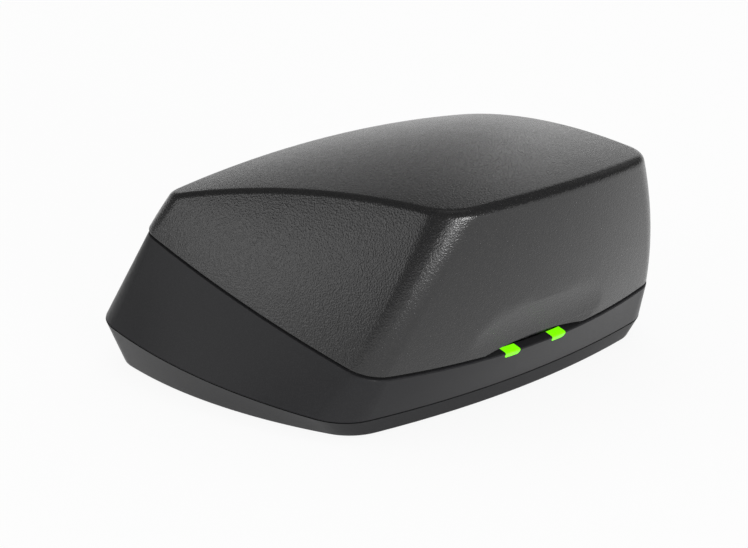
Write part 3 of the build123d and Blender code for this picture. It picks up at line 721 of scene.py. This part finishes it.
@dataclass(frozen=True)
class ScrewKind:
    """A pan-head screw with a hexagonal recess and a coarse thread, in metres."""

    head_radius: float
    head_height: float
    shank_radius: float
    shank_length: float
    drive_radius: float = 0.9 * MM
    drive_depth: float = 0.6 * MM
    pitch: float = 0.8 * MM
    head_sides: int = 36
    # Each tier's share of the head's height, and what its top is scaled by.
    head_tiers: tuple[Flat, ...] = ((0.5, 1.0), (0.3, 0.93), (0.2, 0.8))
    shank_sides: int = 24
    # Shares of the shank's radius, then of its length.
    core_share: float = 0.8
    crest_share: float = 0.86
    ridge_share: float = 0.13
    thread_share: float = 0.86
    thread_start: float = -0.97
    ridge_sides: int = 3

    def plan(self) -> ShapeTree:
        """Draw up a screw, with its head's seat at the origin and its shank down Z.

        Returns:
            The tree that puts a screw on every place.
        """
        tree = ShapeTree("pan_head_screw")
        head_radius = tree.size("Head Radius")
        head_height = tree.size("Head Height")
        drive_radius = tree.size("Drive Radius")
        drive_depth = tree.size("Drive Depth")
        shank_radius = tree.size("Shank Radius")
        shank_length = tree.size("Shank Length")
        pitch = tree.size("Pitch")
        turn = tree.size("Turn", "NodeSocketVector")
        sizes = {"Vertices": self.head_sides, "Radius": head_radius}
        disc = tree.add("GeometryNodeMeshCircle", sizes, fill_type="NGON").outputs[0]
        head = Tier(disc)
        reach = 1.0
        for rise, scale in self.head_tiers:
            head = tree.raised(head, tree.times(head_height, rise), scale)
            reach *= scale
        head = tree.raised(head, 0.0, tree.calc("DIVIDE", drive_radius, tree.times(head_radius, reach)))
        head = tree.raised(self.six_sided(tree, head), tree.times(drive_depth, -1.0))
        under = tree.add("GeometryNodeFlipFaces", {"Mesh": disc}).outputs[0]
        core = tree.times(shank_radius, self.core_share)
        sizes = {"Vertices": self.shank_sides, "Radius": core, "Depth": shank_length}
        shank = tree.add("GeometryNodeMeshCylinder", sizes).outputs[0]
        threaded = tree.times(shank_length, self.thread_share)
        thread = tree.helix(
            tree.times(shank_radius, self.crest_share),
            tree.calc("DIVIDE", threaded, pitch),
            threaded,
            self.ridge_sides,
            tree.times(shank_radius, self.ridge_share),
        )
        lowered = tree.lifted(shank, tree.times(shank_length, -0.5))
        sunk = tree.lifted(thread, tree.times(shank_length, self.thread_start))
        whole = tree.add("GeometryNodeJoinGeometry")
        for part in (head.mesh, under, lowered, sunk):
            tree.feed(whole.inputs[0], part)
        turned = tree.add("FunctionNodeEulerToRotation", {"Euler": turn}).outputs[0]
        tree.close(tree.copied(whole.outputs[0], tree.places, Rotation=turned))
        return tree

    def six_sided(self, tree: ShapeTree, head: Tier) -> Tier:
        """Draw the round face on top of a head in to the hexagon inside it.

        Args:
            tree: The tree to build in.
            head: The head.

        Returns:
            The head with its six-sided top.
        """
        place = tree.add("GeometryNodeInputPosition").outputs[0]
        split = tree.add("ShaderNodeSeparateXYZ", {"Vector": place}).outputs
        angle = tree.calc("ARCTAN2", split["Y"], split["X"])
        sixth = math.pi / 3
        within = tree.calc("SUBTRACT", tree.calc("FLOORED_MODULO", angle, sixth), sixth / 2)
        share = tree.calc("DIVIDE", math.cos(sixth / 2), tree.calc("COSINE", within))
        drawn = tree.point(tree.times(split["X"], share), tree.times(split["Y"], share), split["Z"])
        sizes = {"Geometry": head.mesh, "Selection": head.top, "Position": drawn}
        return Tier(tree.add("GeometryNodeSetPosition", sizes).outputs[0], head.top)

    def drive(
        self, shop: Workshop, node: str, name: str, places: list[Point], turn: float, body: str
    ) -> None:
        """Make a set of screws that stands for a CAD node.

        Args:
            shop: What the sub-assemblies share.
            node: The CAD node.
            name: The new piece's name.
            places: Where the heads are seated.
            turn: How far each screw is turned about X, in radians.
            body: The body it rides on.
        """
        sizes = {
            "Head Radius": self.head_radius,
            "Head Height": self.head_height,
            "Drive Radius": self.drive_radius,
            "Drive Depth": self.drive_depth,
            "Shank Radius": self.shank_radius,
            "Shank Length": self.shank_length,
            "Pitch": self.pitch,
            "Turn": (turn, 0.0, 0.0),
        }
        piece = shop.grown(self.plan(), places, name, Finish.STEEL, sizes)
        shop.settle(piece, Finish.STEEL, "steel", body, node)


@dataclass
class Shells:
    """The moulded shells that make the case's outer form."""

    shop: Workshop

    def build(self) -> None:
        """Make the lid, the base housing and the bottom cover."""
        self.shop.smooth_copy("lid_shell", "lid", Finish.LID, "lid", "lid")
        self.shop.smooth_copy("base_housing", "housing", Finish.HOUSING, "housing", "base")
        self.shop.smooth_copy("bottom_cover", "cover", Finish.COVER, "housing", "base")


@dataclass
class Lights:
    """The two green lights in the front rim."""

    shop: Workshop

    def build(self) -> None:
        """Make the lit pipes and dress the lamps under them."""
        for side in SIDES:
            self.shop.smooth_copy(
                f"light_pipe_{side}", f"green_light_{side}", Finish.LIGHT, "light_pipe", "base"
            )
            self.shop.dress_node(f"led_{side}", Finish.LIGHT)
        self.shop.dress_node("light_block", Finish.INSULATOR)


@dataclass(frozen=True)
class CoilSpring:
    """The spring under a contact, in metres."""

    wire_radius: float = 0.09 * MM
    wire_sides: int = 10
    turns: float = 6.0

    def plan(self) -> ShapeTree:
        """Draw up a coil that rises from the origin.

        Returns:
            The tree that puts a coil on every place.
        """
        tree = ShapeTree("coil_spring")
        radius, wire, turns, rise = (tree.size(name) for name in ("Radius", "Wire Radius", "Turns", "Rise"))
        coil = tree.helix(radius, turns, rise, self.wire_sides, wire)
        tree.close(tree.copied(coil, tree.places))
        return tree

    def make(self, shop: Workshop, side: str, end: str) -> None:
        """Make one spring, which stands on its lower end.

        Args:
            shop: What the sub-assemblies share.
            side: The side of its contact.
            end: The end of the contact's row.
        """
        node, joint = f"pin_spring_{side}_{end}", f"pin_slide_{side}_{end}"
        low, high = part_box(node)
        x, y = (low[0] + high[0]) / 2, (low[1] + high[1]) / 2
        height = high[2] - low[2]
        sizes = {
            "Radius": (high[0] - low[0]) / 2 - self.wire_radius,
            "Wire Radius": self.wire_radius,
            "Turns": self.turns,
            "Rise": height - 2 * self.wire_radius,
        }
        places = [(x, y, low[2] + self.wire_radius)]
        coil = shop.grown(self.plan(), places, f"coil_spring_{side}_{end}", Finish.STEEL, sizes)
        shop.settle(coil, Finish.STEEL, "steel", "base", node)
        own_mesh(coil)


@dataclass
class Cradle:
    """The deck under the lid, with its cups, liners, markers and contacts."""

    shop: Workshop

    def build(self) -> None:
        """Make the deck's visible pieces."""
        shop = self.shop
        spring = CoilSpring()
        shop.smooth_copy("cradle_deck", "deck", Finish.DECK, "deck", "base")
        shop.smooth_copy("receiver_tray", "tray", Finish.DECK, "deck", "base")
        for side in SIDES:
            shop.smooth_copy(f"charging_cup_{side}", f"cup_{side}", Finish.DECK, "deck", "base")
            shop.smooth_copy(f"well_liner_{side}", f"liner_{side}", Finish.LINER, "liner", "base")
            shop.dress_node(f"side_marker_{side}", Finish.BLUE if side == "left" else Finish.RED)
            shop.dress_node(f"contact_block_{side}", Finish.INSULATOR)
            shop.dress_node(f"base_magnet_{side}", Finish.NICKEL)
            for end in ENDS:
                node, name, body = (f"{kind}_{side}_{end}" for kind in ("contact_pin", "contact", "pin"))
                shop.smooth_copy(node, name, Finish.GOLD, "gold", body)
                spring.make(shop, side, end)
        shop.dress_node("pin_barrels", Finish.GOLD)


@dataclass
class LidFittings:
    """What the lid carries inside: its liner plate, pads, screws and magnets."""

    shop: Workshop
    liner_bottom: float = 38.95 * MM
    liner_slope: float = -0.13
    pad_middle: Flat = (22.0 * MM, -7.0 * MM)
    pad_half: Flat = (5.5 * MM, 9.0 * MM)
    pad_corner: float = 3.0 * MM
    pad_thickness: float = 1.5 * MM
    pad_skin: float = 0.12 * MM
    pad_waist: float = 0.3 * MM
    # The edge's rings: how far in, in millimetres, and the drop as a share of the thickness.
    pad_edge: tuple[Flat, ...] = ((0.15, 0.0), (0.0, 0.3), (0.0, 0.62), (0.12, 0.8), (0.4, 0.92))
    # The crown's rings, as shares of the last ring of the edge.
    pad_crown: tuple[float, ...] = (0.9, 0.78, 0.64, 0.5, 0.35, 0.2, 0.08)
    crown_power: float = 2.4
    corner_steps: int = 8
    side_steps: int = 10
    screw: ScrewKind = ScrewKind(
        head_radius=1.9 * MM, head_height=0.89 * MM, shank_radius=1.0 * MM, shank_length=3.96 * MM
    )
    screw_places: tuple[Flat, ...] = ((20.0 * MM, -22.0 * MM), (26.0 * MM, 18.0 * MM))

    def below_liner(self, x: float, y: float, drop: float) -> Vector:
        """Return a place at a distance under the liner plate.

        Args:
            x: The place's X.
            y: The Y of the point on the plate that it lies under.
            drop: The distance, square to the plate.

        Returns:
            The place.
        """
        square = Vector((0.0, -self.liner_slope, 1.0)).normalized()
        return Vector((x, y, self.liner_bottom + self.liner_slope * y)) - square * drop

    def pad_outline(self, inset: float) -> list[Flat]:
        """Return a pad's outline about its middle, with its sides drawn in between the corners.

        Args:
            inset: How far the outline is moved inwards.

        Returns:
            The outline's points, anticlockwise.
        """
        half_x, half_y = (half - inset for half in self.pad_half)
        radius = self.pad_corner - inset
        points = []
        for quarter, (sx, sy) in enumerate(((1, 1), (-1, 1), (-1, -1), (1, -1))):
            for step in range(self.corner_steps + 1):
                angle = (quarter + step / self.corner_steps) * math.pi / 2
                x = sx * (half_x - radius) + radius * math.cos(angle)
                y = sy * (half_y - radius) + radius * math.sin(angle)
                points.append((x, y))
        sides = []
        for place, following in zip(points, points[1:] + points[:1]):
            sides.append(place)
            if math.dist(place, following) > radius:
                for step in range(1, self.side_steps):
                    share = step / self.side_steps
                    sides.append(tuple(a + (b - a) * share for a, b in zip(place, following)))
        drawn = []
        for x, y in sides:
            across = 1 - self.pad_waist / half_x * (1 - (y / half_y) ** 2)
            along = 1 - self.pad_waist / half_y * (1 - (x / half_x) ** 2)
            drawn.append((x * across, y * along))
        return drawn

    def make_pad(self, side: str) -> None:
        """Make one crowned foam pad, which presses an aid on its contacts.

        Args:
            side: The side of the case it is on.
        """
        middle_x, middle_y = self.pad_middle
        middle_x *= SIDES[side]
        rings = [(self.pad_outline(inset * MM), rise * self.pad_thickness) for inset, rise in self.pad_edge]
        rim, rim_rise = rings[-1]
        swell = self.pad_thickness - self.pad_skin / 2 - rim_rise
        for scale in self.pad_crown:
            crown = rim_rise + swell * (1 - scale**self.crown_power)
            rings.append(([(x * scale, y * scale) for x, y in rim], crown))
        work = bmesh.new()
        loops = [
            [work.verts.new(self.below_liner(middle_x + x, middle_y + y, drop)) for x, y in outline]
            for outline, drop in rings
        ]
        for lower, upper in zip(loops, loops[1:]):
            for index in range(len(lower)):
                after = (index + 1) % len(lower)
                work.faces.new((lower[index], lower[after], upper[after], upper[index]))
        for loop in (loops[0], loops[-1]):
            work.faces.new(loop)
        bmesh.ops.recalc_face_normals(work, faces=work.faces)
        pad = self.shop.shaded(work, f"crowned_pad_{side}")
        self.shop.settle(pad, Finish.FOAM, "pad", "lid", f"hold_down_pad_{side}")

    def build(self) -> None:
        """Make the lid's fittings."""
        shop = self.shop
        shop.smooth_copy("lid_liner", "liner_plate", Finish.DECK, "deck", "lid")
        places = [
            tuple(self.below_liner(side * x, y, 0.0))
            for x, y in self.screw_places
            for side in SIDES.values()
        ]
        turn = math.pi + math.atan(self.liner_slope)
        self.screw.drive(shop, "liner_screws", "lid_screws", places, turn, "lid")
        for side in SIDES:
            self.make_pad(side)
            shop.dress_node(f"lid_magnet_{side}", Finish.NICKEL)


@dataclass
class Underside:
    """The feet and the cover's screws over which they sit."""

    shop: Workshop
    foot_steps: int = 64
    # Out and up, as shares of the foot's radius and height.
    foot_profile: tuple[Flat, ...] = (
        (0.0, 0.1),
        (0.22, 0.1),
        (0.26, 0.0),
        (0.57, 0.0),
        (0.61, 0.13),
        (0.7, 0.13),
        (0.74, 0.0),
        (0.93, 0.0),
        (0.965, 0.03),
        (0.99, 0.12),
        (1.0, 0.25),
        (1.0, 1.0),
        (0.0, 1.0),
    )
    screw_seat: float = 3.6 * MM
    screw: ScrewKind = ScrewKind(
        head_radius=2.0 * MM,
        head_height=1.5 * MM,
        shank_radius=1.1 * MM,
        shank_length=9.0 * MM,
        drive_depth=0.8 * MM,
    )

    def make_foot(self, node: str) -> Flat:
        """Turn a rubber foot with a grooved sole.

        Args:
            node: The CAD node that it stands for.

        Returns:
            The X and Y of its middle.
        """
        low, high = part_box(node)
        middle = (Vector(low) + Vector(high)) / 2
        radius = (high[0] - low[0]) / 2
        height = high[2] - low[2]
        work = bmesh.new()
        line = [
            work.verts.new((middle.x + radius * out, middle.y, low[2] + height * up))
            for out, up in self.foot_profile
        ]
        edges = [work.edges.new(pair) for pair in zip(line, line[1:])]
        bmesh.ops.spin(
            work,
            geom=line + edges,
            cent=(middle.x, middle.y, 0.0),
            axis=(0.0, 0.0, 1.0),
            angle=math.tau,
            steps=self.foot_steps,
            use_merge=True,
        )
        bmesh.ops.remove_doubles(work, verts=work.verts, dist=self.shop.merge)
        bmesh.ops.recalc_face_normals(work, faces=work.faces)
        foot = self.shop.shaded(work, f"rubber_{node}")
        self.shop.settle(foot, Finish.RUBBER, "rubber", "base", node)
        return middle.x, middle.y

    def build(self) -> None:
        """Make the feet and the screws."""
        middles = [self.make_foot(f"foot_{end}_{side}") for end in ENDS for side in SIDES]
        places = [(x, y, self.screw_seat) for x, y in middles]
        self.screw.drive(self.shop, "cover_screws", "shell_screws", places, math.pi, "base")


@dataclass
class Circuit:
    """The circuit board and what it carries, the inlet and the hinge pin."""

    shop: Workshop
    screw_places: tuple[Flat, ...] = ((26.0 * MM, -21.5 * MM), (25.0 * MM, 32.0 * MM))
    screw: ScrewKind = ScrewKind(
        head_radius=1.9 * MM,
        head_height=1.2 * MM,
        shank_radius=1.0 * MM,
        shank_length=3.4 * MM,
        drive_depth=0.8 * MM,
    )
    tongue_thickness: float = 0.7 * MM
    contact_count: int = 12
    contact_pitch: float = 0.5 * MM
    contact_width: float = 0.28 * MM
    contact_thickness: float = 0.06 * MM
    contact_layers: int = 3
    contact_face: float = 0.82
    # How squarely a face looks up or down to count as one of the flat ones.
    contact_upright: float = 0.9
    contact_length: float = 3.2 * MM
    contact_setback: float = 0.5 * MM

    def contact_plan(self) -> ShapeTree:
        """Draw up a row of flat contacts with chamfered edges, side by side along X.

        Returns:
            The tree that lays a row across every place.
        """
        tree = ShapeTree("contact_row")
        count = tree.size("Count", "NodeSocketInt")
        pitch = tree.size("Pitch")
        width = tree.size("Width")
        length = tree.size("Length")
        thickness = tree.size("Thickness")
        size = tree.point(width, length, thickness)
        bar = tree.add("GeometryNodeMeshCube", {"Size": size, "Vertices Z": self.contact_layers}).outputs[0]
        normal = tree.add("GeometryNodeInputNormal").outputs[0]
        up = tree.add("ShaderNodeSeparateXYZ", {"Vector": normal}).outputs["Z"]
        flat = tree.calc("GREATER_THAN", tree.calc("ABSOLUTE", up), self.contact_upright)
        start = tree.times(tree.times(tree.calc("SUBTRACT", count, 1.0), pitch), -0.5)
        sizes = {"Start Location": tree.point(start, 0.0, 0.0), "Offset": tree.point(pitch, 0.0, 0.0)}
        row = tree.add("GeometryNodeMeshLine", {"Count": count, **sizes}).outputs[0]
        bars = tree.copied(tree.scaled(bar, flat, self.contact_face), row)
        tree.close(tree.copied(bars, tree.places))
        return tree

    def make_contacts(self) -> None:
        """Lay the gold contacts on both faces of the inlet's tongue."""
        low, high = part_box("inlet_core")
        middle = (low[2] + high[2]) / 2
        y = high[1] - self.contact_setback - self.contact_length / 2
        places = [(0.0, y, middle + side * self.tongue_thickness / 2) for side in SIDES.values()]
        sizes = {
            "Count": self.contact_count,
            "Pitch": self.contact_pitch,
            "Width": self.contact_width,
            "Length": self.contact_length,
            "Thickness": self.contact_thickness,
        }
        contacts = self.shop.grown(self.contact_plan(), places, "inlet_contacts", Finish.GOLD, sizes)
        self.shop.settle(contacts, Finish.GOLD, "gold", "base")

    def build(self) -> None:
        """Dress the board's pieces and make the inlet, its contacts and the hinge pin."""
        shop = self.shop
        finishes = {
            "main_board": Finish.BOARD,
            "controller_chip": Finish.CHIP,
            "inductor": Finish.CHIP,
            "capacitors": Finish.CERAMIC,
            "inlet_core": Finish.INSULATOR,
        }
        for node, finish in finishes.items():
            shop.dress_node(node, finish)
        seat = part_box("main_board")[1][2]
        places = [(side * x, y, seat) for x, y in self.screw_places for side in SIDES.values()]
        self.screw.drive(shop, "board_screws", "circuit_screws", places, 0.0, "base")
        self.make_contacts()
        shop.smooth_copy("inlet_shell", "inlet_sleeve", Finish.NICKEL, "steel", "base")
        shop.smooth_copy("hinge_pin", "pivot_pin", Finish.STEEL, "steel", "base")


@dataclass(frozen=True)
class SoftBox:
    """A rectangular lamp with soft light, aimed at the case."""

    name: str
    place: Point
    width: float
    height: float
    power: float
    aim: Point = (0.0, 0.0, 0.02)

    def light(self) -> None:
        """Add the lamp to the scene."""
        data = bpy.data.lights.new(self.name, "AREA")
        data.shape = "RECTANGLE"
        data.size = self.width
        data.size_y = self.height
        data.energy = self.power
        lamp = bpy.data.objects.new(self.name, data)
        lamp.location = self.place
        towards = Vector(self.aim) - Vector(self.place)
        lamp.rotation_euler = towards.to_track_quat("-Z", "Y").to_euler()
        lamp.visible_camera = False
        bpy.context.scene.collection.objects.link(lamp)


@dataclass(frozen=True)
class Studio:
    """The floor, the background, the lamps and the camera."""

    floor_half: float = 3.0
    floor_shade: float = 0.9
    floor_rough: float = 0.9
    floor_shine: float = 0.1
    floor_glow: float = 0.91
    ambient: float = 0.75
    horizon: float = 0.01
    ceiling: float = 0.12
    ceiling_share: float = 0.1
    target: Point = (-0.00542, 0.00588, 0.01727)
    back: Point = (-0.6435, -0.6845, 0.3427)
    distance: float = 0.5275
    lens: float = 118.8
    sensor: float = 36.0
    lamps: tuple[SoftBox, ...] = (
        SoftBox("back_card", (0.93, 0.58, 0.34), 0.45, 0.68, 0.56),
        SoftBox("back_left_card", (0.703, 0.838, 0.355), 0.38, 0.24, 0.11),
        SoftBox("left_card", (-0.947, 0.547, 0.34), 0.56, 0.34, 1.3),
        SoftBox("left_low_card", (-0.99, 0.572, 0.12), 0.4, 0.24, 0.12),
        SoftBox("right_card", (0.98, 0.0, 0.62), 0.5, 0.4, 0.14),
        SoftBox("corner_lamp", (-0.256, -1.11, 0.15), 0.5, 0.2, 7.0),
        SoftBox("low_corner_lamp", (-0.6, -0.98, 0.09), 0.6, 0.16, 2.2),
        SoftBox("top_lamp", (0.1, 0.1, 1.2), 0.6, 0.6, 0.4),
    )

    def shown(self, tree: NodeTree) -> Socket:
        """Tell the rays that show the background: those from the camera, mirrored or let through.

        Args:
            tree: The tree to build in.

        Returns:
            1 for such a ray and 0 for the others.
        """
        rays = tree.add("ShaderNodeLightPath").outputs
        seen = tree.calc("MAXIMUM", rays["Is Camera Ray"], rays["Is Glossy Ray"])
        return tree.calc("MAXIMUM", seen, rays["Is Transmission Ray"])

    def make_world(self) -> None:
        """Make an even soft light, which shows white at the horizon and dims above it in gloss."""
        world = bpy.data.worlds.new("studio")
        world.use_nodes = True
        bpy.context.scene.world = world
        tree = NodeTree(world.node_tree)
        place = tree.add("ShaderNodeTexCoord").outputs["Generated"]
        up = tree.add("ShaderNodeSeparateXYZ", {0: place}).outputs["Z"]
        levels = (self.horizon, self.ceiling, 1.0, self.ceiling_share)
        fall = tree.spread(up, *levels, interpolation_type="SMOOTHSTEP")
        camera = tree.add("ShaderNodeLightPath").outputs["Is Camera Ray"]
        strength = tree.calc("MAXIMUM", fall, camera)
        white = tree.add("ShaderNodeBackground", {"Color": WHITE, "Strength": strength})
        soft = world.node_tree.nodes["Background"]
        tree.feed(soft.inputs["Color"], WHITE)
        tree.feed(soft.inputs["Strength"], self.ambient)
        mix = tree.add("ShaderNodeMixShader", {0: self.shown(tree), 1: soft.outputs[0], 2: white.outputs[0]})
        tree.feed(world.node_tree.nodes["World Output"].inputs["Surface"], mix.outputs[0])

    def floor_material(self) -> bpy.types.Material:
        """Make the floor's material, which shows white and keeps the case's shadow.

        Returns:
            The material.
        """
        tree = ShaderTree("pale_floor")
        tree.put("Base Color", (self.floor_shade,) * 3 + (1.0,))
        tree.put("Roughness", self.floor_rough)
        tree.put("Specular IOR Level", self.floor_shine)
        white = tree.add("ShaderNodeEmission", {"Color": WHITE, "Strength": 1.0})
        share = tree.times(self.shown(tree), self.floor_glow)
        mix = tree.add("ShaderNodeMixShader", {0: share, 1: tree.shader.outputs[0], 2: white.outputs[0]})
        tree.feed(tree.tree.nodes["Material Output"].inputs["Surface"], mix.outputs[0])
        return tree.material

    def make_floor(self) -> None:
        """Make the pale floor that the case stands on."""
        work = bmesh.new()
        bmesh.ops.create_grid(work, x_segments=1, y_segments=1, size=self.floor_half)
        mesh = bpy.data.meshes.new("floor")
        work.to_mesh(mesh)
        work.free()
        mesh.materials.append(self.floor_material())
        floor = bpy.data.objects.new("floor", mesh)
        bpy.context.scene.collection.objects.link(floor)

    def make_camera(self) -> None:
        """Make the camera at the photograph's viewing angle."""
        data = bpy.data.cameras.new("camera")
        data.lens = self.lens
        data.sensor_width = self.sensor
        camera = bpy.data.objects.new("camera", data)
        towards = Vector(self.back).normalized()
        camera.location = Vector(self.target) + towards * self.distance
        camera.rotation_euler = (-towards).to_track_quat("-Z", "Y").to_euler()
        bpy.context.scene.collection.objects.link(camera)
        bpy.context.scene.camera = camera

    def build(self) -> None:
        """Make the whole studio."""
        bpy.context.scene.view_settings.view_transform = "Standard"
        self.make_world()
        self.make_floor()
        for lamp in self.lamps:
            lamp.light()
        self.make_camera()


def main() -> None:
    """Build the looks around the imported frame."""
    logging.basicConfig(level=logging.INFO, format="%(name)s: %(message)s")
    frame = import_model()
    shop = Workshop(frame)
    Studio().build()
    for assembly in (Shells, Lights, Cradle, LidFittings, Underside, Circuit):
        assembly(shop).build()
        LOG.info("finished %s", assembly.__name__)


if __name__ == "__main__":
    main()
